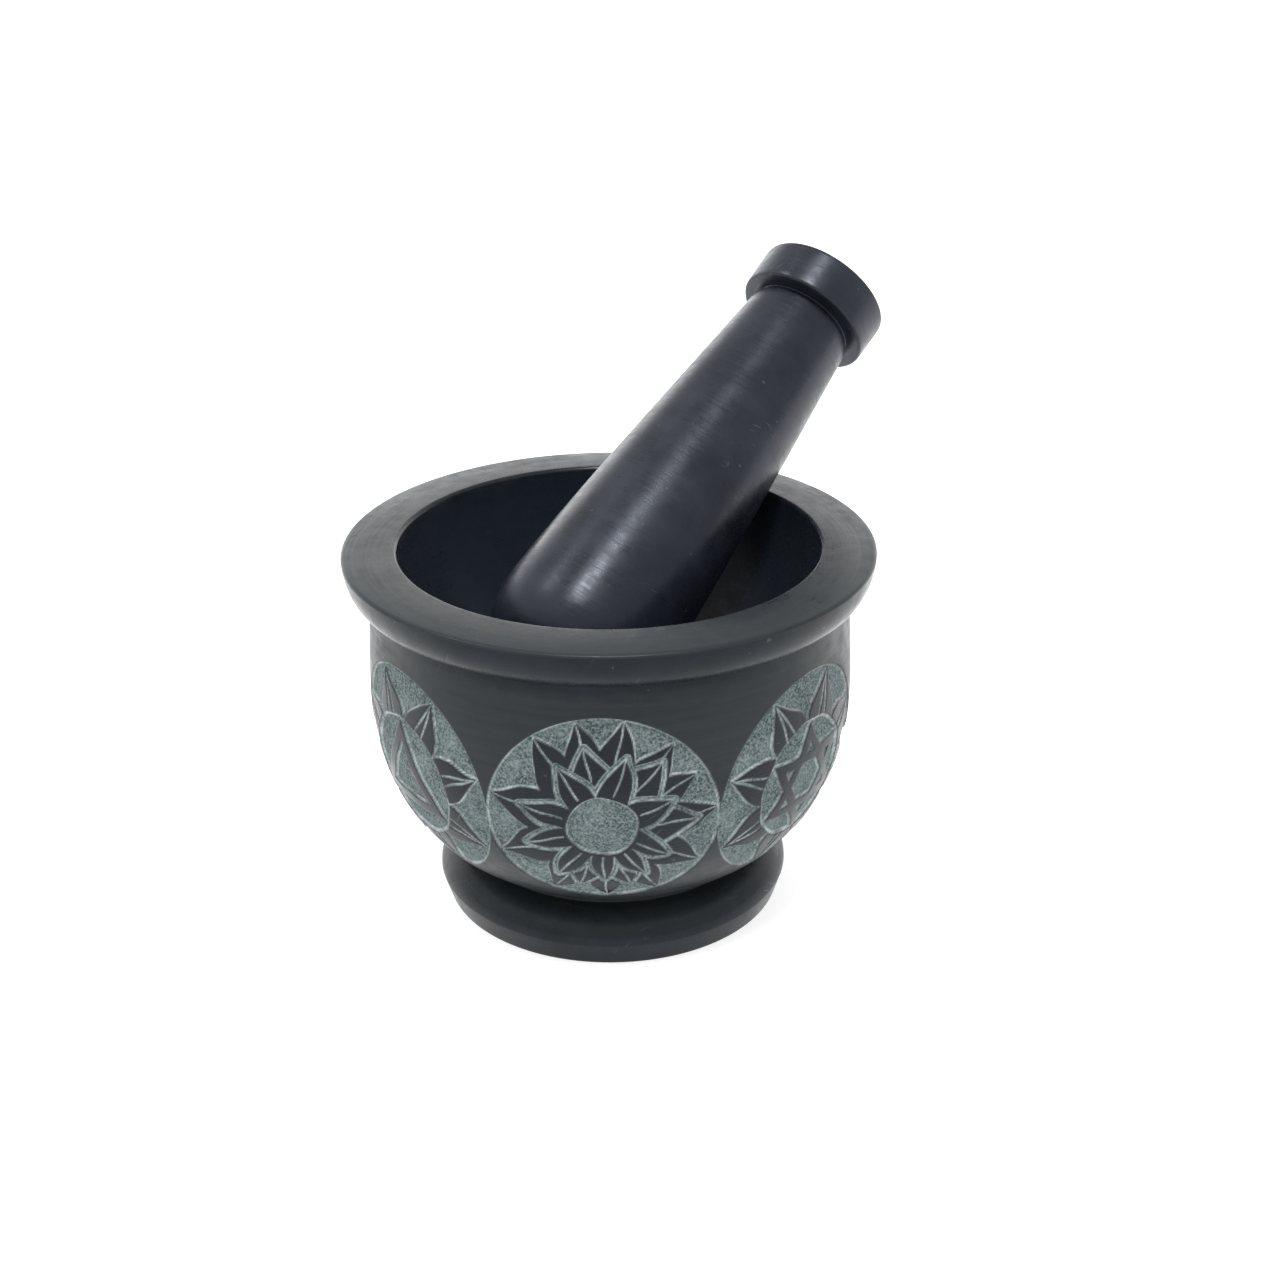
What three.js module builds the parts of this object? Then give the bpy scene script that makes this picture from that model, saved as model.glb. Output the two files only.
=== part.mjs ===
import * as THREE from 'three';

// A footed, round-bellied stone mortar with its turned stone pestle resting in it.
// Millimetres and degrees, Z up. The origin is the centre of the foot's flat underside.

// Mortar, inside: a round bowl, part of a ball, over a thick base
const mouthRadius = 40.4;
const baseThickness = 38;
const innerEdgeBevel = 0.5;

// Mortar, outside
const mortarHeight = 73.8;
const rimWidth = 10.6;
const rimDepth = 7.8;
const rimOverhang = 4.7;
const outerEdgeBevel = 0.4;
const bellyWall = 6.6;
const bellyHeight = 44.5;
const neckRadius = 28.6;
const neckGroove = 2.4;
const bellyLip = 0.8;
const footHeight = 10.5;
const footRadius = 35.1;
const footWidestHeight = 4.8;
const soleInset = 1.5;

// Mortar, curve handles: how far each curve is drawn out before it turns
const footShoulderRise = 2.6;
const footShoulderReach = 4.2;
const footShoulderDrop = 0.3;
const neckUndercut = 0.4;
const bellyFloorReach = 8;
const bellyFloorRise = 1.3;
const bellyPullDown = 17.3;
const bellyPullUp = 8;

// Pestle, along its own axis from the centre of its round head
const headRadius = 17.5;
const headToCap = 82;
const shaftTopRadius = 11.2;
const shaftBulgeShare = 0.15;
const shaftTaperShare = 0.54;
const shaftTaperSpread = 3.3;
const collarGroove = 1.2;
const collarGrooveDepth = 0.8;
const collarGrooveSlope = 0.4;
const capOverhang = 2.6;
const capFlare = 0.15;
const capHeight = 8.8;
const capEdge = 0.5;
const capDome = 1.1;

// How the pestle rests: its axis lies in one upright plane with the mortar's axis, its head
// touches the bowl and its shaft leans on the rim's inner edge
const leanHeading = 48.5;
const headContactDip = 68.4;
const restingGap = 0.35;

// Facets round each turned piece, and points along each stretch of outline
const mortarFacets = 72;
const pestleFacets = 48;
const footSteps = 6;
const bellySteps = 14;
const throatSteps = 4;
const rimSteps = 8;
const bowlSteps = 16;
const headSteps = 9;
const shaftSteps = 12;
const edgeSteps = 3;
const domeSteps = 3;

// Fineness of the search for the resting lean
const shaftSamples = 200;
const steepestLean = 89;
const halvings = 50;

const mouthEdgeHeight = mortarHeight - innerEdgeBevel;
const bowlDepth = mouthEdgeHeight - baseThickness;
const bowlRadius = (mouthRadius ** 2 + bowlDepth ** 2) / (2 * bowlDepth);
const bowlCentreHeight = baseThickness + bowlRadius;
const rimRadius = mouthRadius + rimWidth;
const bellyRadius = mouthRadius + bellyWall;
const throatRadius = rimRadius - rimOverhang;
const throatHeight = mortarHeight - outerEdgeBevel - rimDepth;

function radians(degrees) {
  return THREE.MathUtils.degToRad(degrees);
}

function degrees(angle) {
  return THREE.MathUtils.radToDeg(angle);
}

function point(radius, height) {
  return new THREE.Vector2(radius, height);
}

// Points on an elliptical arc. Angles run from the outward direction towards up.
function arc(centre, radiusAcross, radiusUp, fromAngle, toAngle, steps) {
  const points = [];
  for (let i = 0; i <= steps; i += 1) {
    const angle = radians(fromAngle + ((toAngle - fromAngle) * i) / steps);
    points.push(point(centre.x + radiusAcross * Math.cos(angle), centre.y + radiusUp * Math.sin(angle)));
  }
  return points;
}

function bezier(start, startHandle, endHandle, end, steps) {
  return new THREE.CubicBezierCurve(start, startHandle, endHandle, end).getPoints(steps);
}

// A closed turned body from an outline that starts and ends on the axis.
function turned(outline, facets) {
  const apart = outline.filter((p, i) => i === 0 || p.distanceTo(outline[i - 1]) > 1e-6);
  const geometry = new THREE.LatheGeometry(apart, facets);
  geometry.rotateX(radians(90));
  return geometry;
}

function footOutline() {
  const sole = point(footRadius - soleInset, 0);
  const widest = point(footRadius, footWidestHeight);
  const crease = point(neckRadius, footHeight);
  return [
    point(0, 0),
    sole,
    ...bezier(
      widest,
      point(widest.x, widest.y + footShoulderRise),
      point(crease.x + footShoulderReach, crease.y - footShoulderDrop),
      crease,
      footSteps,
    ),
  ];
}

function bellyOutline() {
  const lip = point(neckRadius + bellyLip, footHeight + neckGroove);
  const widest = point(bellyRadius, bellyHeight);
  const throat = point(throatRadius, throatHeight);
  return [
    point(neckRadius, footHeight + neckGroove - neckUndercut),
    ...bezier(
      lip,
      point(lip.x + bellyFloorReach, lip.y + bellyFloorRise),
      point(widest.x, widest.y - bellyPullDown),
      widest,
      bellySteps,
    ),
    ...bezier(
      widest,
      point(widest.x, widest.y + bellyPullUp),
      point(throat.x, throat.y - bellyPullUp),
      throat,
      throatSteps,
    ),
  ];
}

function rimOutline() {
  const edgeHeight = mortarHeight - outerEdgeBevel;
  return [
    ...arc(point(throatRadius, edgeHeight), rimOverhang, rimDepth, -90, 0, rimSteps),
    point(rimRadius - outerEdgeBevel, mortarHeight),
    point(mouthRadius + innerEdgeBevel, mortarHeight),
    point(mouthRadius, mouthEdgeHeight),
  ];
}

function bowlOutline() {
  const edgeAngle = degrees(Math.atan2(mouthEdgeHeight - bowlCentreHeight, mouthRadius));
  const wall = arc(point(0, bowlCentreHeight), bowlRadius, bowlRadius, edgeAngle, -90, bowlSteps);
  wall[wall.length - 1].x = 0;
  return wall;
}

function mortarGeometry() {
  const outline = [...footOutline(), ...bellyOutline(), ...rimOutline(), ...bowlOutline()];
  return turned(outline, mortarFacets);
}

// The shaft's outline, from the head's widest ring to just under the cap.
function shaftCurve() {
  return new THREE.CubicBezierCurve(
    point(headRadius, 0),
    point(headRadius, headToCap * shaftBulgeShare),
    point(shaftTopRadius + shaftTaperSpread, headToCap * shaftTaperShare),
    point(shaftTopRadius, headToCap - collarGroove),
  );
}

// A low dome over a flat ring, from the ring in to the axis.
function domeOutline(radius, height, rise) {
  const points = [];
  for (let i = 1; i <= domeSteps; i += 1) {
    const share = 1 - i / domeSteps;
    points.push(point(radius * share, height + rise * (1 - share * share)));
  }
  return points;
}

function pestleGeometry() {
  const head = arc(point(0, 0), headRadius, headRadius, -90, 0, headSteps);
  head[0].x = 0;
  const capBottomRadius = shaftTopRadius + capOverhang;
  const capTopRadius = capBottomRadius + capFlare;
  const capTop = headToCap + capHeight;
  const collarRadius = shaftTopRadius - collarGrooveDepth;
  const outline = [
    ...head,
    ...shaftCurve().getPoints(shaftSteps),
    point(collarRadius, headToCap - collarGroove + collarGrooveSlope),
    point(collarRadius, headToCap),
    ...arc(point(capBottomRadius - capEdge, headToCap + capEdge), capEdge, capEdge, -90, 0, edgeSteps),
    ...arc(point(capTopRadius - capEdge, capTop - capEdge), capEdge, capEdge, 0, 90, edgeSteps),
    ...domeOutline(capTopRadius - capEdge, capTop, capDome),
  ];
  return turned(outline, pestleFacets);
}

// The head's centre, in the upright plane the pestle leans in: x away from the lean, y up.
function headCentre() {
  const reach = bowlRadius - headRadius - restingGap;
  const dip = radians(headContactDip);
  return point(-reach * Math.cos(dip), bowlCentreHeight - reach * Math.sin(dip));
}

// Gap between the rim's inner edge and the shaft when the pestle rises at this angle above level.
function gapAtRim(rise) {
  const toEdge = point(mouthRadius, mouthEdgeHeight).sub(headCentre());
  const axis = point(Math.cos(rise), Math.sin(rise));
  const along = toEdge.dot(axis);
  const across = axis.cross(toEdge);
  let shaftRadius = shaftTopRadius;
  for (const p of shaftCurve().getPoints(shaftSamples)) {
    if (p.y <= along) {
      shaftRadius = p.x;
    }
  }
  return -across - shaftRadius;
}

// The rise above level at which the shaft clears the rim's inner edge by the resting gap.
function restingRise() {
  let low = 0;
  let high = radians(steepestLean);
  for (let i = 0; i < halvings; i += 1) {
    const middle = (low + high) / 2;
    if (gapAtRim(middle) < restingGap) {
      low = middle;
    } else {
      high = middle;
    }
  }
  return high;
}

function soapstone(colour, roughness) {
  return new THREE.MeshStandardMaterial({ color: colour, roughness, metalness: 0 });
}

function namedMesh(name, geometry, material) {
  const mesh = new THREE.Mesh(geometry, material);
  mesh.name = name;
  return mesh;
}

function mortar() {
  return namedMesh('mortar', mortarGeometry(), soapstone(0x3c3c3e, 0.38));
}

// The pestle, leaning in the bowl at its resting place.
function restingPestle() {
  const pestle = namedMesh('pestle', pestleGeometry(), soapstone(0x303134, 0.28));
  const centre = headCentre();
  pestle.position.set(centre.x, 0, centre.y);
  pestle.rotation.y = Math.PI / 2 - restingRise();
  const heading = new THREE.Group();
  heading.rotation.z = radians(leanHeading);
  heading.add(pestle);
  return heading;
}

const molcajete = new THREE.Group();
molcajete.add(mortar());
molcajete.add(restingPestle());

export default molcajete;
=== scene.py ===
import math

import bpy
import numpy as np
from mathutils import Matrix, Vector


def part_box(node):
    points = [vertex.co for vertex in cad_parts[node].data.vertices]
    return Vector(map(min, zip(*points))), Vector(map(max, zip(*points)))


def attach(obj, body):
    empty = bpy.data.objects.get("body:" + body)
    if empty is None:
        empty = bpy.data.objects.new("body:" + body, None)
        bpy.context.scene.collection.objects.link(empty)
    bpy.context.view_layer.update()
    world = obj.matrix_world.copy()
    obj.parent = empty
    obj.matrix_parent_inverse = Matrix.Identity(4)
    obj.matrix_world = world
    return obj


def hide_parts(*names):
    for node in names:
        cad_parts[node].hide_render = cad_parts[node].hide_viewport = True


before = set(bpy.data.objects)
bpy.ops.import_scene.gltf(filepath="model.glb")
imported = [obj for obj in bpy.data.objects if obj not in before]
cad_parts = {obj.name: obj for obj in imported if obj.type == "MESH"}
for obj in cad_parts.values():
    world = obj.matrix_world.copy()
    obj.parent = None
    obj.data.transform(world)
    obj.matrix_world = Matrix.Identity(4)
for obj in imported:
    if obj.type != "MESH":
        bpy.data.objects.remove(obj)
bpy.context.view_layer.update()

MM = 0.001
rng = np.random.default_rng(20)

# Camera, in metres and degrees
CAMERA_PLACE = (0.0058, -0.3512, 0.2167)
CAMERA_PITCH = 25.05
CAMERA_ROLL = -0.35
CAMERA_LENS = 55.7

# Stone colours (linear) and finishes. The blue in the stone colours is partly the stone's own tone and partly
# painted bluish window light, and the two specular tints are painted bluish window light in the reflections
OILED_BLACK = (0.0050, 0.0066, 0.0090, 1)
DUST_AND_FILL_GREY = (0.0180, 0.0215, 0.0240, 1)
LIGHT_DUST_AND_FILL_GREY = (0.0235, 0.0280, 0.0305, 1)
# Painted bluish sky reflection inside the bowl
BOWL_PAINTED_SKY_BLUE = (0.0125, 0.0180, 0.0265, 1)
PESTLE_BLACK = (0.0088, 0.0104, 0.0150, 1)
GROUND_DARK = (0.038, 0.055, 0.058, 1)
GROUND_LIGHT = (0.215, 0.262, 0.262, 1)
GROUND_PALE = (0.29, 0.34, 0.34, 1)
BRUISE_PALE = (0.52, 0.59, 0.59, 1)
FLECK_GREY = (0.32, 0.35, 0.36, 1)
SCUFF_GREY = (0.40, 0.42, 0.45, 1)
WHITE = (1, 1, 1, 1)
MORTAR_SHEEN = 0.44
# Specular tints: painted bluish window light in the reflections of pestle and mortar
PESTLE_PAINTED_WINDOW_TINT = (0.92, 0.98, 1.13, 1)
MORTAR_PAINTED_WINDOW_TINT = (0.92, 1.0, 1.07, 1)
OILED_ROUGHNESS = 0.25
DRY_ROUGHENING = 0.12
PESTLE_ROUGHNESS = 0.31
MORTAR_IOR = 1.33
PESTLE_IOR = 1.38

# Noises in the stone, as (marks per metre, detail, roughness)
FINE_MARKS = (2600, 4.0, 0.6)
BROAD_MARKS = (420, 2.0, 0.5)
CLOUDS = (70, 5.0, 0.6)
MOTTLE = (330, 3.0, 0.6)
FLECKS = (620, 1.0, 0.5)
BLOTS = (240, 4.0, 0.65)
POWDER = (900, 3.0, 0.6)
GRAIN = (2100, 3.0, 0.7)
GRAIN_PATCHES = (210, 3.0, 0.6)
SCUFF_PATCHES = (48, 1.0, 0.5)

# Turning marks run round the axis, and drift by this share of the distance along them
MARKS_ALONG = 0.05

# Between which two values each noise, the dryness and the cut come in
CLOUD_SPAN = (0.38, 0.68)
FLECK_SPAN = (0.76, 0.80)
POLISH_SPAN = (1.2, 1.8)
BLOT_SPAN = (0.3, 0.7)
POWDER_SPAN = (0.35, 0.7)
DUST_AND_FILL_SPAN = (0.1, 0.9)
CUT_COLOUR_SPAN = (0.25, 0.75)
CUT_ROUGH_SPAN = (0.3, 0.8)
GRAIN_SPAN = (0.40, 0.64)
PATCH_SPAN = (0.40, 0.75)
BRUISE_PATCH_SPAN = (0.35, 0.6)
BRUISE_GRAIN_SPAN = (0.25, 0.6)
SCUFF_LINE_SPAN = (0.70, 0.76)
SCUFF_PATCH_SPAN = (0.56, 0.64)

# How strongly each shows
CLOUD_LIGHTENING = 2.1
FLECK_STRENGTH = 0.12
SCUFF_STRENGTH = 0.16
PATCH_STRENGTH = 0.35
BLOT_STRENGTH = 0.18
FAINTEST_BRUISE_PATCH = 0.25
FAINTEST_BRUISE_GRAIN = 0.45
# How strongly the bowl's painted bluish sky reflection shows
BOWL_PAINTED_SKY_SHARE = 0.8
POLISH_RANGE = (-0.09, 0.10)
GROUND_ROUGHNESS = 0.85
PESTLE_MARKS = 0.18
MORTAR_MARKS = 0.10

# Relief too fine for the mesh, as (strength, depth)
BROAD_MARK_BUMP = (0.25, 0.2 * MM)
FINE_MARK_BUMP = (1.0, 0.06 * MM)
CLOUD_BUMP = (0.10, 0.6 * MM)
MOTTLE_BUMP = (0.12, 0.15 * MM)
PIT_BUMP = (0.8, 0.12 * MM)

# How dry the mortar's outside is, from 0, oiled, to 1, dry, at shares of its height. The 0.7 from 0.11 to
# 0.14 is painted fill light on the foot's shoulder under the belly, drawn as dry grey stone
DRY_AND_FILL_LIGHT_OUTSIDE = (
    # Painted fill light: the 0.7 from 0.11 to 0.14 lightens the foot's shoulder under the belly, standing in
    # for the floor's bounce
    (0, 0.12), (0.08, 0.12), (0.11, 0.7), (0.14, 0.7), (0.24, 0.95),
    (0.84, 0.95), (0.88, 0), (0.985, 0), (1, 0.95),
)

# How dry its rim's top is at the outer and the inner edge, how much painted fill light its bowl gets as dry
# grey stone, and how much oilier its petals are
DRY_RIM_EDGE = 0.95
DRY_RIM_INNER = 0.40
BOWL_FILL_LIGHT = 0.5
WAXED_PETALS = 0.75

# How far in the rim's side reaches, and how far below its top still counts as its top
RIM_SIDE_REACH = 3 * MM
RIM_TOP_REACH = 0.9 * MM

# The oily patch by the bowl's edge, in degrees round the rim, and how fast it fills out inwards
OIL_PATCH_HEADING = 2.0
OIL_PATCH_SPREAD = 16.0
OIL_PATCH_DEPTH = 1.6

# Scuffs: which way they run in radians, and how long, wide and deep one is
SCUFF_TURN = (0.6, 0.5, 0.9)
SCUFF_SIZE = (6 * MM, 0.3 * MM, 5 * MM)
SCUFF_LINES = (1, 1.0, 0.5)

# Studio. Suns as (heading, climb, spread, watts per square metre), reaches in metres back from the centre
MAIN_LIGHT = (-91, 72.5, 12, 1.7)
SIDE_LIGHT = (168, 58, 9, 0.42)
SKY = 0.85
SKY_LEAN = 0.10
BACK_GLOW = 1.7
BACK_GLOW_FADE = (0.28, 0.46)
FLOOR_GLOW = (0.32, 0.95)
FLOOR_GLOW_REACH = (-0.20, 0.10)
BEHIND_SPAN = (0.3, 0.9)
FLOOR_REACH = 4.0
FLOOR_GREYS = (0.54, 0.56)
FLOOR_CLOUDS = (6, 2.0, 0.5)
FLOOR_CLOUD_SPAN = (0.3, 0.7)
FLOOR_ROUGHNESS = 0.9
NEAREST_SEEN = 0.01

# Mesh fineness
MORTAR_COLUMNS = 1200
PESTLE_COLUMNS = 240
CARVED_ROW = 0.25 * MM
PLAIN_ROW = 1.3 * MM
EDGE_ROW = 0.12 * MM
EDGE_ROUNDING = 0.16 * MM
SOFTEN_REACHES = 3
OUTLINE_STEP = 0.05 * MM
SAME_RING = 0.03 * MM
ON_AXIS = 0.05 * MM
ROW_TURN = math.radians(9)
BEND_WINDOW = 9
CORNER_TURN = math.radians(24)

# The rim's top rolls down towards its outer edge: by how much, from where across, over what height
RIM_ROLL = 0.38 * MM
RIM_ROLL_START = 0.25
RIM_ROLL_DEPTH = 2.5 * MM

# Medallions carved round the belly. Angles are seen from the centre of the belly's widest circle.
MEDALLION_DIP = -9.4
FRONT_HEADING = -91.4
FRONT_PITCH = 53.8
CUT_DEPTH = 0.55 * MM
VEIN_DEPTH = 0.32 * MM
CUT_WALL = 0.14 * MM
STIPPLE = 0.045 * MM
BRUISE_WIDTH = 0.13 * MM
HAND_WOBBLE = 0.006
WOBBLE_WAVES = (17, 19)
NEAR_MEDALLION = 1.06
LEAF_SHOULDER = 0.42
LEAF_NARROWS = 0.5
LEAF_FULLNESS = 0.62
MEDALLION_REACH = 29

# Between which shares of the height the belly is widest, and how near its widest the rim's side starts
BELLY_SPAN = (0.3, 0.8)
WIDEST_SLACK = 0.2 * MM


# ---------------------------------------------------------------- outlines read from the frame

def ring_of(places, origin, axis):
    """Each place as (distance from the axis, distance along it)."""
    offset = places - origin
    along = offset @ axis
    across = np.linalg.norm(offset - along[:, None] * axis, axis=1)
    return np.stack([across, along], axis=1)


def turned_outline(node, origin, axis):
    """The outline of a turned CAD node, ring by ring, from its lowest point on the axis to its other end."""
    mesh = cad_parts[node].data
    rings = ring_of(np.array([v.co for v in mesh.vertices]), origin, axis)
    label = np.full(len(rings), -1)
    outline = []
    while (label < 0).any():
        first = rings[np.argmax(label < 0)]
        same = (label < 0) & (np.abs(rings - first).max(axis=1) < SAME_RING)
        label[same] = len(outline)
        outline.append(rings[same].mean(axis=0))
    outline = np.array(outline)
    links = {i: set() for i in range(len(outline))}
    for edge in mesh.edges:
        a, b = (int(label[v]) for v in edge.vertices)
        if a != b:
            links[a].add(b)
            links[b].add(a)
    on_axis = [i for i in links if outline[i, 0] < ON_AXIS]
    order = [min(on_axis, key=lambda i: outline[i, 1])]
    while True:
        onward = [i for i in links[order[-1]] if i not in order]
        if not onward:
            break
        order.append(onward[0])
    outline = outline[order]
    outline[[0, -1], 0] = 0
    return outline


def split_at_corners(outline):
    """Stretches of the outline between its corners, each corner shared by two stretches."""
    steps = np.diff(outline, axis=0)
    headings = np.unwrap(np.arctan2(steps[:, 1], steps[:, 0]))
    turns = np.abs(np.diff(headings))
    cuts = [0] + [i + 1 for i in np.nonzero(turns > CORNER_TURN)[0]] + [len(outline) - 1]
    return [outline[a:b + 1] for a, b in zip(cuts, cuts[1:])]


def curve_through(points, spacing):
    """A dense smooth curve through points, by Catmull-Rom spans."""
    if len(points) < 3:
        count = max(2, int(np.linalg.norm(points[-1] - points[0]) / spacing) + 1)
        return points[0] + np.linspace(0, 1, count)[:, None] * (points[-1] - points[0])
    padded = np.vstack([2 * points[0] - points[1], points, 2 * points[-1] - points[-2]])
    made = [points[:1]]
    for before, a, b, after in zip(padded, padded[1:], padded[2:], padded[3:]):
        span = np.linalg.norm(b - a)
        leave = (b - before) * span / (np.linalg.norm(b - a) + np.linalg.norm(a - before))
        arrive = (after - a) * span / (np.linalg.norm(b - a) + np.linalg.norm(after - b))
        t = np.linspace(0, 1, max(2, int(span / spacing) + 1))[1:, None]
        made.append(
            (2 * t**3 - 3 * t**2 + 1) * a + (t**3 - 2 * t**2 + t) * leave
            + (3 * t**2 - 2 * t**3) * b + (t**3 - t**2) * arrive
        )
    return np.vstack(made)


def arc_lengths(curve):
    return np.concatenate([[0], np.cumsum(np.linalg.norm(np.diff(curve, axis=0), axis=1))])


def evenly(curve, spacing):
    length = arc_lengths(curve)
    places = np.linspace(0, length[-1], int(length[-1] / spacing) + 1)
    return np.stack([np.interp(places, length, curve[:, i]) for i in (0, 1)], axis=1)


def soften(curve, spacing, reach):
    """Rounds the corners of an evenly spaced curve, its two ends held."""
    half = int(SOFTEN_REACHES * reach / spacing)
    weights = np.exp(-0.5 * (np.arange(-half, half + 1) * spacing / reach) ** 2)
    weights /= weights.sum()
    start = 2 * curve[0] - curve[half:0:-1]
    end = 2 * curve[-1] - curve[-2:-half - 2:-1]
    padded = np.vstack([start, curve, end])
    soft = np.stack([np.convolve(padded[:, i], weights, "valid") for i in (0, 1)], axis=1)
    soft[[0, -1]] = curve[[0, -1]]
    return soft


def fine_outline(outline):
    pieces = [curve_through(stretch, OUTLINE_STEP) for stretch in split_at_corners(outline)]
    joined = np.vstack([pieces[0]] + [piece[1:] for piece in pieces[1:]])
    return soften(evenly(joined, OUTLINE_STEP), OUTLINE_STEP, EDGE_ROUNDING)


def rows_along(curve, carved):
    """Picks rows from a fine outline: close where it bends or is carved, wide where it is plain."""
    length = arc_lengths(curve)
    steps = np.diff(curve, axis=0)
    heading = np.unwrap(np.arctan2(steps[:, 1], steps[:, 0]))
    bend = np.zeros(len(curve))
    bend[1:-1] = np.abs(np.diff(heading)) / np.maximum(np.diff(length)[1:], 1e-9)
    bend = np.convolve(bend, np.full(BEND_WINDOW, 1 / BEND_WINDOW), "same")
    gap = np.clip(ROW_TURN / np.maximum(bend, 1e-6), EDGE_ROW, PLAIN_ROW)
    gap = np.where(carved, np.minimum(gap, CARVED_ROW), gap)
    density = np.concatenate([[0], np.cumsum(np.diff(length) / gap[1:])])
    count = int(density[-1]) + 1
    picked = np.interp(np.linspace(0, density[-1], count), density, length)
    return np.stack([np.interp(picked, length, curve[:, i]) for i in (0, 1)], axis=1)


# ---------------------------------------------------------------- meshes

def outward(rows):
    """The outline's normals, to the right of its direction of travel."""
    slope = np.gradient(rows, axis=0)
    normal = np.stack([slope[:, 1], -slope[:, 0]], axis=1)
    return normal / np.linalg.norm(normal, axis=1)[:, None]


def lathe_places(rows, columns, sink):
    """Ring after ring of places, and then the two ends on the axis."""
    angles = np.linspace(0, 2 * math.pi, columns, endpoint=False)
    normal = outward(rows)
    radius = rows[1:-1, 0, None] - sink * normal[1:-1, 0, None]
    height = rows[1:-1, 1, None] - sink * normal[1:-1, 1, None]
    rings = np.stack(
        [radius * np.cos(angles), radius * np.sin(angles), np.broadcast_to(height, radius.shape)], axis=-1
    )
    ends = np.array([[0, 0, rows[0, 1]], [0, 0, rows[-1, 1]]])
    return np.vstack([rings.reshape(-1, 3), ends])


def lathe_faces(count, columns):
    """Squares between this many rings, and a fan of triangles at each end."""
    here = np.arange(columns)
    following = (here + 1) % columns
    squares = []
    for row in range(count - 1):
        low, high = row * columns, (row + 1) * columns
        squares.append(np.stack([low + here, low + following, high + following, high + here], axis=1))
    first, last, top = count * columns, count * columns + 1, (count - 1) * columns
    start_fan = np.stack([np.full(columns, first), following, here], axis=1)
    end_fan = np.stack([np.full(columns, last), top + here, top + following], axis=1)
    return np.vstack(squares).tolist() + start_fan.tolist() + end_fan.tolist()


def add_turned_map(mesh, rows, columns):
    """A plain cylinder map: once round across, and along the outline up."""
    column = np.arange(columns)
    left, middle, right = column / columns, (column + 0.5) / columns, (column + 1) / columns
    along = arc_lengths(rows)
    levels = [np.full(columns, level) for level in along / along[-1]]
    faces = [
        [left, low, right, low, right, high, left, high] for low, high in zip(levels[1:-2], levels[2:-1])
    ]
    faces.append([middle, levels[0], right, levels[1], left, levels[1]])
    faces.append([middle, levels[-1], left, levels[-2], right, levels[-2]])
    corners = np.concatenate([np.stack(face, axis=1).ravel() for face in faces])
    mesh.uv_layers.new(name="OFBake").data.foreach_set("uv", corners.astype(np.float32))


def lathe(name, rows, columns, sink, attributes, place=np.eye(4)):
    """A closed turned mesh. rows is (radius, height), with ends on the axis, and sink is how far each point
    goes in. Its places are in the frame's axes, and its own upright places are kept for the material."""
    turned = lathe_places(rows, columns, sink)
    places = turned @ place[:3, :3].T + place[:3, 3]
    mesh = bpy.data.meshes.new(name)
    mesh.from_pydata(places.tolist(), [], lathe_faces(len(rows) - 2, columns))
    mesh.shade_smooth()
    for key, values in attributes.items():
        layer = mesh.attributes.new(key, "FLOAT", "POINT")
        layer.data.foreach_set("value", np.concatenate([values.ravel(), [0, 0]]).astype(np.float32))
    layer = mesh.attributes.new("turned", "FLOAT_VECTOR", "POINT")
    layer.data.foreach_set("vector", turned.ravel().astype(np.float32))
    add_turned_map(mesh, rows, columns)
    made = bpy.data.objects.new(name, mesh)
    bpy.context.scene.collection.objects.link(made)
    return made


# ---------------------------------------------------------------- flat shapes of the carving
# Distances are in medallion radii, and negative inside.

FAR = 1e9
LEAF_POINTS = 9

def polar(degrees, radius):
    return np.array([radius * math.cos(math.radians(degrees)), radius * math.sin(math.radians(degrees))])


def distance_to_outline(points, corners):
    """Signed distance from points to a closed outline of straight sides."""
    nearest = np.full(len(points), FAR)
    crossings = np.zeros(len(points), int)
    for a, b in zip(corners, np.roll(corners, -1, axis=0)):
        side = b - a
        to = points - a
        t = np.clip((to @ side) / (side @ side), 0, 1)
        nearest = np.minimum(nearest, np.linalg.norm(to - t[:, None] * side, axis=1))
        if a[1] != b[1]:
            spans = (a[1] > points[:, 1]) != (b[1] > points[:, 1])
            at = a[0] + (points[:, 1] - a[1]) * side[0] / side[1]
            crossings += spans & (points[:, 0] < at)
    return np.where(crossings % 2 == 1, -nearest, nearest)


def distance_to_line(points, start, end):
    side = end - start
    t = np.clip(((points - start) @ side) / (side @ side), 0, 1)
    return np.linalg.norm(points - start - t[:, None] * side, axis=1), t


def leaf(heading, tip, base, left, right, flare):
    """A pointed petal. It stands on a circle, as far round it as left and right, flares and then narrows."""
    length = tip - base
    t = np.linspace(0, 1, LEAF_POINTS)[:, None]
    sides = []
    for hand, width in ((-1, right), (1, left)):
        corner = polar(hand * width, base)
        shoulder = corner * (1, 1 + flare) + (LEAF_SHOULDER * length, 0)
        narrows = np.array([tip - LEAF_NARROWS * length, hand * LEAF_FULLNESS * LEAF_NARROWS * length])
        point = np.array([tip, 0])
        sides.append(
            (1 - t)**3 * corner + 3 * (1 - t)**2 * t * shoulder + 3 * (1 - t) * t**2 * narrows + t**3 * point
        )
    outline = np.vstack([sides[0], sides[1][-2::-1]])
    turn = math.radians(heading)
    turned = np.array([[math.cos(turn), math.sin(turn)], [-math.sin(turn), math.cos(turn)]])
    return outline @ turned


VEIN_THINNEST = 0.35
VEIN_START = 0.15
VEIN_RUN = 0.8


def vein(points, heading, start, end, width, lean=0.0):
    """A tapering cut from start outwards to end, as a signed distance."""
    distance, t = distance_to_line(points, polar(heading + lean, start), polar(heading, end))
    swell = np.sin(math.pi * (VEIN_START + VEIN_RUN * t))
    return distance - width * (VEIN_THINNEST + (1 - VEIN_THINNEST) * swell)


def union(points, outlines):
    return np.min([distance_to_outline(points, outline) for outline in outlines], axis=0)


def spaced(count, first):
    return [first + 360.0 * i / count for i in range(count)]


# A carving gives (standing stone, veins) as two signed distances inside one medallion.

LOTUS_DISC = 0.297
LOTUS_GROOVE = 0.036
LOTUS_VEIN = 0.0075

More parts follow.
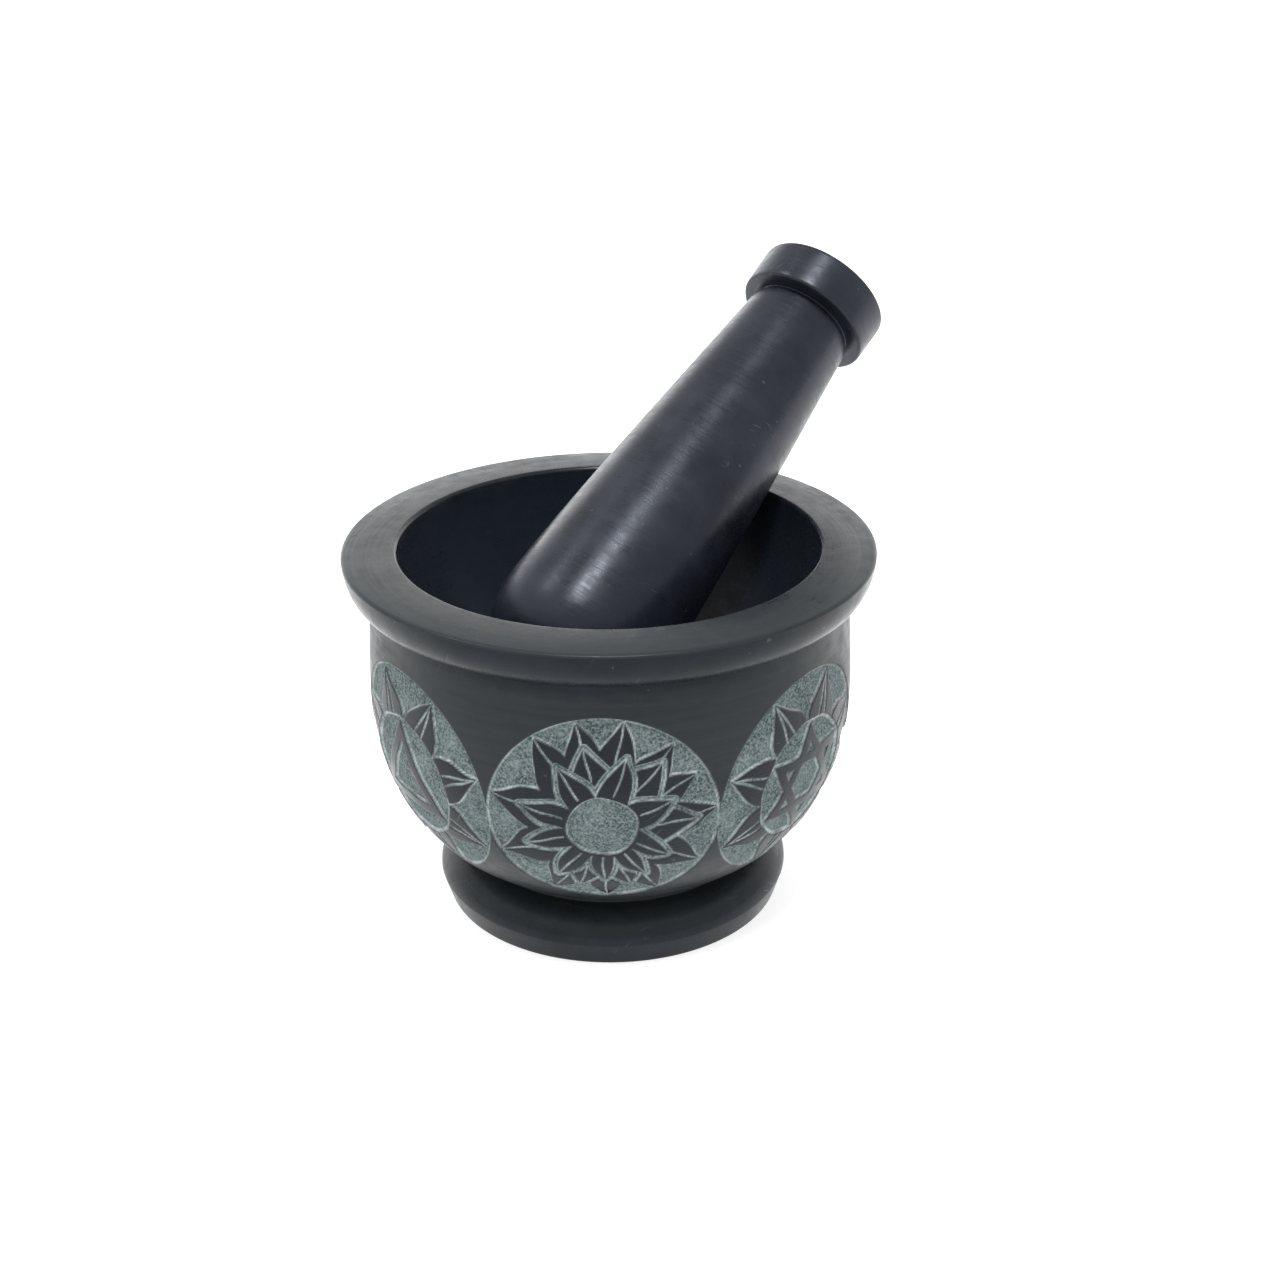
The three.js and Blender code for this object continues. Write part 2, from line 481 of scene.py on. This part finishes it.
# Petals as (heading, reach), nearest layer first
LOTUS_LAYERS = (
    ((21, 0.65), (72, 0.69), (124, 0.67), (167, 0.72), (200, 0.70), (237, 0.73), (270, 0.67), (301, 0.69),
     (327, 0.66)),
    ((1, 0.81), (50, 0.79), (101, 0.76), (254, 0.78), (287, 0.78)),
    ((4, 0.99), (30, 0.92), (51, 0.97), (79, 1.0), (102, 1.0), (125, 1.0), (167, 0.99), (205, 0.98),
     (243, 0.99), (271, 0.98), (299, 0.98), (329, 0.98)),
)
LAYER_BASES = (0.30, 0.42, 0.46)
LAYER_FLARES = (0.05, 0.1, 0.6)
WIDEST_LEAF = 27
NARROWEST_LEAF = 15
LEAF_OVERLAP = 0.56
VEIN_FROM = 0.10
VEIN_SHORT_OF_TIP = 0.01


def gap_after(heading, others):
    """Degrees from a heading on to the next of the others."""
    return min((other - heading) % 360 or 360 for other in others)


def layer_of_leaves(petals, base, flare):
    """One round of petals, each reaching a little past halfway to its neighbours."""
    headings = [heading for heading, reach in petals]
    leaves = []
    for heading, reach in petals:
        left = LEAF_OVERLAP * gap_after(heading, headings)
        right = LEAF_OVERLAP * gap_after(-heading, [-other for other in headings])
        left, right = np.clip([left, right], NARROWEST_LEAF, WIDEST_LEAF)
        leaves.append(leaf(heading, reach, base, left, right, flare))
    return leaves


def lotus(points):
    """Layers of petals round a plain stippled disc, each layer parted from the one before by a groove."""
    standing = LOTUS_DISC - np.hypot(points[:, 0], points[:, 1])
    veins, shown, nearer = np.full((3, len(points)), FAR)
    for petals, base, flare in zip(LOTUS_LAYERS, LAYER_BASES, LAYER_FLARES):
        layer = union(points, layer_of_leaves(petals, base, flare))
        parted = np.maximum(layer, LOTUS_GROOVE - nearer)
        shown = np.minimum(shown, parted)
        for heading, reach in petals:
            start = base + VEIN_FROM * (reach - base)
            cut = vein(points, heading, start, reach - VEIN_SHORT_OF_TIP, LOTUS_VEIN)
            veins = np.minimum(veins, np.maximum(cut, parted))
        nearer = np.minimum(nearer, layer)
    return np.maximum(shown, standing), veins


RING = 0.565
RING_LINE = 0.012
PETAL_TIP = 0.98
PETAL_FLARE = 0.2
PETAL_VEIN = (RING + 0.03, 0.95, 0.009)
PETAL_VEIN_LEANS = (-5, 5)
FIGURE_WIDTH = 0.12
TRIANGLE_WIDTH = 0.11
STAR_WIDTH = 0.10
CRESCENT_RADII = (0.46, 0.38)
CRESCENT_OFFSET = 0.14
DOT_RADIUS = 0.16
ROUND_RADIUS = 0.38
ROUND_HALF_WIDTH = 0.055

# Petals round each figure, as (how many, the first one's heading)
TRIANGLE_PETALS = (8, 62.0)
STAR_PETALS = (8, 73.0)
SQUARE_PETALS = (4, 45.0)
CRESCENT_PETALS = (6, 90.0)
ROUND_PETALS = (12, 90.0)
DOWNWARD_PETALS = (10, 90.0)


def ring_petals(points, count, first):
    """One round of broad petals from the inner ring to the rim, each with two veins."""
    headings = spaced(count, first)
    half = 180 / count
    petals = [leaf(heading, PETAL_TIP, RING, half, half, PETAL_FLARE) for heading in headings]
    veins = []
    for heading in headings:
        veins += [vein(points, heading, *PETAL_VEIN, lean) for lean in PETAL_VEIN_LEANS]
    return union(points, petals), np.min(veins, axis=0)


def regular(count, first, radius):
    return np.array([polar(angle, radius) for angle in spaced(count, first)])


def band(points, outline, width):
    distance = distance_to_outline(points, outline)
    return np.maximum(distance, -width - distance)


def ringed(points, figure, count, first):
    """Petals outside an inner ring, and a figure of standing stone inside it."""
    petals, veins = ring_petals(points, count, first)
    from_centre = np.hypot(points[:, 0], points[:, 1])
    outside = np.maximum(petals, RING - from_centre)
    inside = np.maximum(figure, from_centre - RING)
    veins = np.minimum(veins, np.abs(from_centre - RING) - RING_LINE)
    return np.minimum(outside, inside), veins


def triangle_medallion(points):
    return ringed(points, band(points, regular(3, 90, RING), TRIANGLE_WIDTH), *TRIANGLE_PETALS)


def star_medallion(points):
    up = band(points, regular(3, 90, RING), STAR_WIDTH)
    down = band(points, regular(3, 270, RING), STAR_WIDTH)
    return ringed(points, np.minimum(up, down), *STAR_PETALS)


def square_medallion(points):
    return ringed(points, band(points, regular(4, 45, RING), FIGURE_WIDTH), *SQUARE_PETALS)


def crescent_medallion(points):
    outer = np.hypot(points[:, 0], points[:, 1]) - CRESCENT_RADII[0]
    inner = np.hypot(points[:, 0], points[:, 1] - CRESCENT_OFFSET) - CRESCENT_RADII[1]
    return ringed(points, np.maximum(outer, -inner), *CRESCENT_PETALS)


def round_medallion(points):
    from_centre = np.hypot(points[:, 0], points[:, 1])
    figure = np.minimum(np.abs(from_centre - ROUND_RADIUS) - ROUND_HALF_WIDTH, from_centre - DOT_RADIUS)
    return ringed(points, figure, *ROUND_PETALS)


def downward_medallion(points):
    return ringed(points, band(points, regular(3, 270, RING), FIGURE_WIDTH), *DOWNWARD_PETALS)


def medallions():
    """(heading, angular radius, carving) of each, touching its neighbours all the way round."""
    rear_pitch = (360 - 3 * FRONT_PITCH) / 4
    cos_dip = math.cos(math.radians(MEDALLION_DIP))

    def touching(pitch):
        return math.degrees(math.asin(cos_dip * math.sin(math.radians(pitch / 2))))

    front, rear = touching(FRONT_PITCH), touching(rear_pitch)
    made = [
        (FRONT_HEADING, front, lotus),
        (FRONT_HEADING - FRONT_PITCH, front, triangle_medallion),
        (FRONT_HEADING + FRONT_PITCH, front, star_medallion),
    ]
    shapes = [round_medallion, crescent_medallion, square_medallion, downward_medallion]
    for i, shape in enumerate(shapes):
        made.append((FRONT_HEADING + 1.5 * FRONT_PITCH + (i + 0.5) * rear_pitch, rear, shape))
    return made


def step(distance, reach):
    """1 well inside, 0 well outside, smooth over the reach."""
    t = np.clip(0.5 - distance / (2 * reach), 0, 1)
    return t * t * (3 - 2 * t)


def medallion_places(directions, heading, radius):
    """Which directions lie near a medallion, and their flat places in it, in its own radii."""
    a, e = math.radians(heading), math.radians(MEDALLION_DIP)
    facing = np.array([math.cos(e) * math.cos(a), math.cos(e) * math.sin(a), math.sin(e)])
    right = np.array([-math.sin(a), math.cos(a), 0])
    up = np.cross(facing, right)
    away = np.degrees(np.arccos(np.clip(directions @ facing, -1, 1)))
    near = away < radius * NEAR_MEDALLION
    spin = np.arctan2(directions[near] @ up, directions[near] @ right)
    return near, np.stack([np.cos(spin), np.sin(spin)], axis=1) * (away[near] / radius)[:, None]


def carve_one(flat, heading, size, carving):
    """Depth, how cut, how bruised and how far within, at flat places in one medallion of this size."""
    edge = (np.hypot(flat[:, 0], flat[:, 1]) - 1.0) * size
    sway = np.sin(flat[:, 1] * WOBBLE_WAVES[0] + heading)
    heave = np.sin(flat[:, 0] * WOBBLE_WAVES[1] + 2 * heading)
    flat = flat + HAND_WOBBLE * np.stack([sway, heave], axis=1)
    standing, veins = (value * size for value in carving(flat))
    ground = np.maximum(edge, -standing)
    ground_cut = step(ground, CUT_WALL)
    vein_cut = step(np.maximum(veins, edge), CUT_WALL)
    bruised = np.exp(-((ground + BRUISE_WIDTH / 2) / BRUISE_WIDTH) ** 2)
    depth = np.maximum(CUT_DEPTH * ground_cut, VEIN_DEPTH * vein_cut)
    return depth, np.maximum(ground_cut, vein_cut), np.maximum(bruised, vein_cut), step(edge, CUT_WALL)


def carve(directions, belly_radius):
    """For directions from the belly's centre: depth, how cut, how bruised, and how far within a medallion."""
    carved = np.zeros((4, len(directions)))
    for heading, radius, carving in medallions():
        near, flat = medallion_places(directions, heading, radius)
        here = carve_one(flat, heading, math.radians(radius) * belly_radius, carving)
        carved[:, near] = np.maximum(carved[:, near], here)
    return carved


# ---------------------------------------------------------------- materials

def new_material(name):
    material = bpy.data.materials.new(name)
    material.use_nodes = True
    tree = material.node_tree
    shader = tree.nodes["Principled BSDF"]
    return material, tree, shader


def add(tree, kind, **values):
    node = tree.nodes.new(kind)
    for key, value in values.items():
        if key in node.inputs:
            node.inputs[key].default_value = value
        else:
            setattr(node, key, value)
    return node


def link(tree, source, target):
    tree.links.new(source, target)


def noise(tree, vector, scale, detail, roughness):
    node = add(tree, "ShaderNodeTexNoise", Scale=scale, Detail=detail, Roughness=roughness)
    link(tree, vector, node.inputs["Vector"])
    return node.outputs["Fac"]


def ramp(tree, value, low, high, to_low=0.0, to_high=1.0):
    node = tree.nodes.new("ShaderNodeMapRange")
    for key, number in zip(("From Min", "From Max", "To Min", "To Max"), (low, high, to_low, to_high)):
        node.inputs[key].default_value = number
    link(tree, value, node.inputs["Value"])
    return node.outputs["Result"]


def math_node(tree, operation, a, b):
    node = add(tree, "ShaderNodeMath", operation=operation)
    for socket, value in zip(node.inputs, (a, b)):
        if isinstance(value, (int, float)):
            socket.default_value = value
        else:
            link(tree, value, socket)
    return node.outputs[0]


def blend_colours(tree, factor, a, b):
    node = add(tree, "ShaderNodeMix", data_type="RGBA")
    link(tree, factor, node.inputs[0])
    for socket, value in zip((node.inputs[6], node.inputs[7]), (a, b)):
        if isinstance(value, tuple):
            socket.default_value = value
        else:
            link(tree, value, socket)
    return node.outputs[2]


def lathe_coordinates(tree):
    """Turned places, and the same as (radius, drift, height), in which marks run round the axis and end."""
    place = add(tree, "ShaderNodeAttribute", attribute_name="turned").outputs["Vector"]
    split = add(tree, "ShaderNodeSeparateXYZ")
    link(tree, place, split.inputs[0])
    flat = add(tree, "ShaderNodeCombineXYZ")
    link(tree, split.outputs["X"], flat.inputs["X"])
    link(tree, split.outputs["Y"], flat.inputs["Y"])
    radius = add(tree, "ShaderNodeVectorMath", operation="LENGTH")
    link(tree, flat.outputs[0], radius.inputs[0])
    drift = math_node(tree, "MULTIPLY", split.outputs["Y"], MARKS_ALONG)
    around = add(tree, "ShaderNodeCombineXYZ")
    link(tree, math_node(tree, "ADD", radius.outputs["Value"], drift), around.inputs["X"])
    link(tree, math_node(tree, "MULTIPLY", split.outputs["X"], MARKS_ALONG), around.inputs["Y"])
    link(tree, split.outputs["Z"], around.inputs["Z"])
    return place, around.outputs[0]


def bump(tree, height, relief, normal=None, share=1.0):
    """Adds relief, as (strength, depth), to a normal. share weakens it."""
    strength, distance = relief
    node = add(tree, "ShaderNodeBump", Strength=share * strength, Distance=distance)
    link(tree, height, node.inputs["Height"])
    if normal is not None:
        link(tree, normal, node.inputs["Normal"])
    return node.outputs["Normal"]


def scratches(tree, place):
    """Short thin scuffs, gathered in patches."""
    drawn_out = add(tree, "ShaderNodeMapping", vector_type="TEXTURE", Rotation=SCUFF_TURN, Scale=SCUFF_SIZE)
    link(tree, place, drawn_out.inputs["Vector"])
    line = ramp(tree, noise(tree, drawn_out.outputs[0], *SCUFF_LINES), *SCUFF_LINE_SPAN)
    patch = ramp(tree, noise(tree, place, *SCUFF_PATCHES), *SCUFF_PATCH_SPAN)
    return math_node(tree, "MULTIPLY", line, patch)


def worn_stone(tree, place, turned, dark, roughness, mark_strength):
    """Colour, roughness and normal of waxed black soapstone, with turning marks, clouding and scuffs."""
    marks = noise(tree, turned, *FINE_MARKS)
    broad_marks = noise(tree, turned, *BROAD_MARKS)
    cloud = noise(tree, place, *CLOUDS)
    mottle = noise(tree, place, *MOTTLE)
    fleck = noise(tree, place, *FLECKS)
    lighter = tuple(CLOUD_LIGHTENING * c for c in dark[:3]) + (1.0,)
    colour = blend_colours(tree, ramp(tree, cloud, *CLOUD_SPAN), dark, lighter)
    flecked = ramp(tree, fleck, *FLECK_SPAN, 0.0, FLECK_STRENGTH)
    colour = blend_colours(tree, flecked, colour, FLECK_GREY)
    scuffed = math_node(tree, "MULTIPLY", scratches(tree, place), SCUFF_STRENGTH)
    colour = blend_colours(tree, scuffed, colour, SCUFF_GREY)
    varied = math_node(tree, "ADD", math_node(tree, "ADD", marks, cloud), mottle)
    smoothest, roughest = (roughness + change for change in POLISH_RANGE)
    rough = ramp(tree, varied, *POLISH_SPAN, smoothest, roughest)
    normal = bump(tree, broad_marks, BROAD_MARK_BUMP, share=mark_strength)
    normal = bump(tree, marks, FINE_MARK_BUMP, normal, share=mark_strength)
    normal = bump(tree, cloud, CLOUD_BUMP, normal)
    normal = bump(tree, mottle, MOTTLE_BUMP, normal)
    return colour, rough, normal


def attribute(tree, name):
    return add(tree, "ShaderNodeAttribute", attribute_name=name).outputs["Fac"]


def finish_stone(tree, shader, colour, rough, normal, ior, tint):
    link(tree, colour, shader.inputs["Base Color"])
    link(tree, rough, shader.inputs["Roughness"])
    link(tree, normal, shader.inputs["Normal"])
    shader.inputs["IOR"].default_value = ior
    # The specular tint paints bluish window light into the reflections
    shader.inputs["Specular Tint"].default_value = tint


def pestle_stone():
    material, tree, shader = new_material("pestle_soapstone")
    place, turned = lathe_coordinates(tree)
    stone = worn_stone(tree, place, turned, PESTLE_BLACK, PESTLE_ROUGHNESS, PESTLE_MARKS)
    finish_stone(tree, shader, *stone, PESTLE_IOR, PESTLE_PAINTED_WINDOW_TINT)
    return material


def oiled_dust_and_painted_light(tree, place, turned, colour, rough):
    """Oiled stone, turning dust-grey where the mask is high: real dust on the belly and rim, painted fill
    light on the foot's shoulder and in the bowl. Inside the bowl a painted bluish sky reflection is blended
    in.
    """
    blot = ramp(tree, noise(tree, place, *BLOTS), *BLOT_SPAN, -BLOT_STRENGTH, BLOT_STRENGTH)
    # The mask holds real dust, and painted fill light on the foot's shoulder and in the bowl
    dust_and_fill_light = ramp(tree, math_node(tree, "ADD", attribute(tree, "dust_and_fill_light"), blot), *DUST_AND_FILL_SPAN)
    powder = ramp(tree, noise(tree, turned, *POWDER), *POWDER_SPAN)
    dust_and_fill_colour = blend_colours(tree, powder, DUST_AND_FILL_GREY, LIGHT_DUST_AND_FILL_GREY)
    colour = blend_colours(tree, dust_and_fill_light, colour, dust_and_fill_colour)
    # Paints a bluish sky reflection inside the bowl
    in_bowl = math_node(tree, "MULTIPLY", attribute(tree, "in_bowl"), BOWL_PAINTED_SKY_SHARE)
    colour = blend_colours(tree, in_bowl, colour, BOWL_PAINTED_SKY_BLUE)
    rough = math_node(tree, "ADD", rough, ramp(tree, dust_and_fill_light, 0.0, 1.0, 0.0, DRY_ROUGHENING))
    return colour, rough


def carved_ground(tree, place, colour, rough, normal):
    """Adds the pale stippled ground where the stone is cut, and its bruised edges."""
    cut = attribute(tree, "cut")
    grain = noise(tree, place, *GRAIN)
    patches = noise(tree, place, *GRAIN_PATCHES)
    ground = blend_colours(tree, ramp(tree, grain, *GRAIN_SPAN), GROUND_DARK, GROUND_LIGHT)
    ground = blend_colours(tree, ramp(tree, patches, *PATCH_SPAN, 0.0, PATCH_STRENGTH), ground, GROUND_PALE)
    colour = blend_colours(tree, ramp(tree, cut, *CUT_COLOUR_SPAN), colour, ground)
    bruised = attribute(tree, "bruised")
    uneven = ramp(tree, patches, *BRUISE_PATCH_SPAN, FAINTEST_BRUISE_PATCH, 1.0)
    bruised = math_node(tree, "MULTIPLY", bruised, uneven)
    grainy = ramp(tree, grain, *BRUISE_GRAIN_SPAN, FAINTEST_BRUISE_GRAIN, 1.0)
    bruised = math_node(tree, "MULTIPLY", bruised, grainy)
    colour = blend_colours(tree, bruised, colour, BRUISE_PALE)
    rough = math_node(tree, "MAXIMUM", rough, ramp(tree, cut, *CUT_ROUGH_SPAN, 0.0, GROUND_ROUGHNESS))
    normal = bump(tree, math_node(tree, "MULTIPLY", grain, cut), PIT_BUMP, normal)
    return colour, rough, normal


def mortar_stone():
    """Oiled black stone, unoiled and greyer on the belly and rim, lightened by painted fill light on the
    foot's shoulder and in the bowl, with a painted bluish sky reflection in the bowl, and pale and stippled
    where it is carved.
    """
    material, tree, shader = new_material("mortar_soapstone")
    place, turned = lathe_coordinates(tree)
    colour, rough, normal = worn_stone(tree, place, turned, OILED_BLACK, OILED_ROUGHNESS, MORTAR_MARKS)
    colour, rough = oiled_dust_and_painted_light(tree, place, turned, colour, rough)
    colour, rough, normal = carved_ground(tree, place, colour, rough, normal)
    finish_stone(tree, shader, colour, rough, normal, MORTAR_IOR, MORTAR_PAINTED_WINDOW_TINT)
    shader.inputs["Specular IOR Level"].default_value = MORTAR_SHEEN
    return material


def floor_material():
    """White paper, glowing more strongly towards the back."""
    material, tree, shader = new_material("pale_floor")
    place = add(tree, "ShaderNodeTexCoord").outputs["Object"]
    split = add(tree, "ShaderNodeSeparateXYZ")
    link(tree, place, split.inputs[0])
    shade = ramp(tree, noise(tree, place, *FLOOR_CLOUDS), *FLOOR_CLOUD_SPAN, *FLOOR_GREYS)
    colour = add(tree, "ShaderNodeCombineColor")
    for socket in colour.inputs[:3]:
        link(tree, shade, socket)
    link(tree, colour.outputs[0], shader.inputs["Base Color"])
    glow = ramp(tree, split.outputs["Y"], *FLOOR_GLOW_REACH, *FLOOR_GLOW)
    link(tree, glow, shader.inputs["Emission Strength"])
    shader.inputs["Emission Color"].default_value = WHITE
    shader.inputs["Roughness"].default_value = FLOOR_ROUGHNESS
    return material


# ---------------------------------------------------------------- the pieces

def dryness_and_fill_light(rings, angles, before_rim, top):
    """The dust and fill light mask, 0 oiled to 1 unoiled, with painted fill light on the foot's shoulder and
    in the bowl drawn as unoiled grey, one oily patch by the bowl's edge, and where it is inside the bowl.
    """
    radius, height = rings[:, 0], rings[:, 1]
    on_top = (height > top - RIM_TOP_REACH) & ~before_rim
    bowl_edge = radius[on_top].min()
    rim_edge = radius[on_top].max()
    side = before_rim | ((radius > bowl_edge + RIM_SIDE_REACH) & ~on_top)
    outside = np.interp(height / top, *zip(*DRY_AND_FILL_LIGHT_OUTSIDE))
    across = np.interp(radius, [bowl_edge, rim_edge], [DRY_RIM_INNER, DRY_RIM_EDGE])
    in_bowl = ~(side | on_top)
    # The bowl's value is painted fill light, drawn as dry grey stone
    dust_and_fill_light = np.where(side, outside, np.where(on_top, across, BOWL_FILL_LIGHT))
    away = np.degrees(np.angle(np.exp(1j * (angles - math.radians(OIL_PATCH_HEADING)))))
    patch = np.exp(-(away / OIL_PATCH_SPREAD) ** 2)
    inward = np.clip(OIL_PATCH_DEPTH * (rim_edge - radius) / (rim_edge - bowl_edge), 0, 1) * on_top
    return dust_and_fill_light[:, None] * (1 - inward[:, None] * patch), in_bowl[:, None] * np.ones_like(patch)


def roll_rim(curve, top):
    """Lets the rim's flat top fall away a little towards its outer edge."""
    flat = curve[:, 1] > top - OUTLINE_STEP
    inner, outer = curve[flat, 0].min(), curve[flat, 0].max()
    start = inner + RIM_ROLL_START * (outer - inner)
    side = (curve[:, 0] > start) & (curve[:, 1] > top - RIM_ROLL_DEPTH)
    fall = np.clip((curve[side, 0] - start) / (outer - start), 0, 1) ** 2 * RIM_ROLL
    near_top = np.clip((curve[side, 1] - top + RIM_ROLL_DEPTH) / RIM_ROLL_DEPTH, 0, 1)
    curve[side, 1] -= fall * near_top
    return curve


def rim_starts(outline, widest):
    """Which ring of an outline is the first on the rim's widest part."""
    return np.argmax(outline[:, 0] > widest - WIDEST_SLACK)


def belly_centre(curve, rim_start, top):
    """Radius and height of the widest ring of the belly."""
    between = (curve[:, 1] > BELLY_SPAN[0] * top) & (curve[:, 1] < BELLY_SPAN[1] * top)
    between[rim_start:] = False
    return curve[np.argmax(np.where(between, curve[:, 0], 0))]


def carved_band(outline, rim_start, belly_height):
    """Which rings the medallions may reach."""
    climb = np.degrees(np.arctan2(outline[:, 1] - belly_height, outline[:, 0]))
    reached = np.abs(climb - MEDALLION_DIP) < MEDALLION_REACH
    reached[rim_start:] = False
    return reached


def make_mortar():
    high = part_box("mortar")[1]
    outline = turned_outline("mortar", np.zeros(3), np.array([0.0, 0.0, 1.0]))
    curve = roll_rim(fine_outline(outline), high.z)
    rim_start = rim_starts(curve, high.x)
    belly_radius, belly_height = belly_centre(curve, rim_start, high.z)
    rows = rows_along(curve, carved_band(curve, rim_start, belly_height))
    inner = rows[1:-1]
    rim_start = rim_starts(inner, high.x)
    on_belly = carved_band(inner, rim_start, belly_height)
    belly = inner[on_belly]
    angles = np.linspace(0, 2 * math.pi, MORTAR_COLUMNS, endpoint=False)
    around = [belly[:, 0, None] * np.cos(angles), belly[:, 0, None] * np.sin(angles)]
    above = np.broadcast_to(belly[:, 1, None] - belly_height, (len(belly), MORTAR_COLUMNS))
    places = np.stack([*around, above], axis=-1).reshape(-1, 3)
    directions = places / np.linalg.norm(places, axis=1)[:, None]
    carved = np.zeros((4, len(inner), MORTAR_COLUMNS))
    carved[:, on_belly] = carve(directions, belly_radius).reshape(4, len(belly), MORTAR_COLUMNS)
    depth, cut, bruised, within = carved
    depth += cut * STIPPLE * rng.uniform(-1, 1, depth.shape)
    before_rim = np.arange(len(inner)) < rim_start
    # The mask carries real dust, and painted fill light on the foot's shoulder and in the bowl
    dust_and_fill_light, in_bowl = dryness_and_fill_light(inner, angles, before_rim, high.z)
    dust_and_fill_light *= 1 - WAXED_PETALS * within
    looks = {"cut": cut, "bruised": bruised, "dust_and_fill_light": dust_and_fill_light, "in_bowl": in_bowl}
    mortar = lathe("carved_mortar", rows, MORTAR_COLUMNS, depth, looks)
    mortar.data.materials.append(mortar_stone())
    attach(mortar, "mortar")
    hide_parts("mortar")


def long_axis(node):
    """A point on a turned node's axis, and the axis's direction, upwards."""
    places = np.unique(np.array([v.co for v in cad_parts[node].data.vertices]), axis=0)
    middle = places.mean(axis=0)
    spread, directions = np.linalg.eigh(np.cov((places - middle).T))
    axis = directions[:, np.argmax(spread)]
    return middle, axis * np.sign(axis[2])


def make_pestle():
    origin, axis = long_axis("pestle")
    rows = rows_along(fine_outline(turned_outline("pestle", origin, axis)), False)
    plain = np.zeros((len(rows) - 2, PESTLE_COLUMNS))
    turn = Vector((0, 0, 1)).rotation_difference(Vector(axis)).to_matrix().to_4x4()
    place = np.array(Matrix.Translation(Vector(origin)) @ turn)
    pestle = lathe("stone_pestle", rows, PESTLE_COLUMNS, plain, {}, place)
    pestle.data.materials.append(pestle_stone())
    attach(pestle, "pestle")
    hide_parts("pestle")


# ---------------------------------------------------------------- studio

def make_camera():
    camera = bpy.data.objects.new("camera", bpy.data.cameras.new("camera"))
    bpy.context.scene.collection.objects.link(camera)
    camera.data.lens = CAMERA_LENS
    camera.data.clip_start = NEAREST_SEEN
    camera.location = CAMERA_PLACE
    look = Matrix.Rotation(math.radians(90 - CAMERA_PITCH), 4, "X")
    roll = Matrix.Rotation(math.radians(CAMERA_ROLL), 4, "Z")
    camera.rotation_euler = (look @ roll).to_euler()
    bpy.context.scene.camera = camera


def make_floor():
    mesh = bpy.data.meshes.new("floor")
    sides = [(-1, -1), (1, -1), (1, 1), (-1, 1)]
    corners = [(FLOOR_REACH * x, FLOOR_REACH * y, 0) for x, y in sides]
    mesh.from_pydata(corners, [], [(0, 1, 2, 3)])
    floor = bpy.data.objects.new("floor", mesh)
    bpy.context.scene.collection.objects.link(floor)
    mesh.materials.append(floor_material())


def soft_sun(name, heading, climb, spread, strength):
    light = bpy.data.objects.new(name, bpy.data.lights.new(name, "SUN"))
    bpy.context.scene.collection.objects.link(light)
    light.data.angle = math.radians(spread)
    light.data.energy = strength
    a, e = math.radians(heading), math.radians(climb)
    back = Vector((math.cos(e) * math.cos(a), math.cos(e) * math.sin(a), math.sin(e)))
    light.rotation_euler = back.to_track_quat("Z", "Y").to_euler()


def make_sky():
    """White all round, a little brighter on the left, and much brighter low down behind the object."""
    world = bpy.data.worlds.new("studio")
    bpy.context.scene.world = world
    world.use_nodes = True
    tree = world.node_tree
    split = add(tree, "ShaderNodeSeparateXYZ")
    link(tree, add(tree, "ShaderNodeTexCoord").outputs["Generated"], split.inputs[0])
    behind = ramp(tree, split.outputs["Y"], *BEHIND_SPAN)
    low = ramp(tree, split.outputs["Z"], *BACK_GLOW_FADE, BACK_GLOW, 0.0)
    even = ramp(tree, split.outputs["X"], -1.0, 1.0, SKY + SKY_LEAN, SKY - SKY_LEAN)
    strength = math_node(tree, "ADD", math_node(tree, "MULTIPLY", behind, low), even)
    link(tree, strength, tree.nodes["Background"].inputs["Strength"])
    tree.nodes["Background"].inputs["Color"].default_value = WHITE


def make_studio():
    make_sky()
    soft_sun("main_light", *MAIN_LIGHT)
    soft_sun("side_light", *SIDE_LIGHT)
    bpy.context.scene.view_settings.view_transform = "Standard"


make_camera()
make_floor()
make_studio()
make_mortar()
make_pestle()
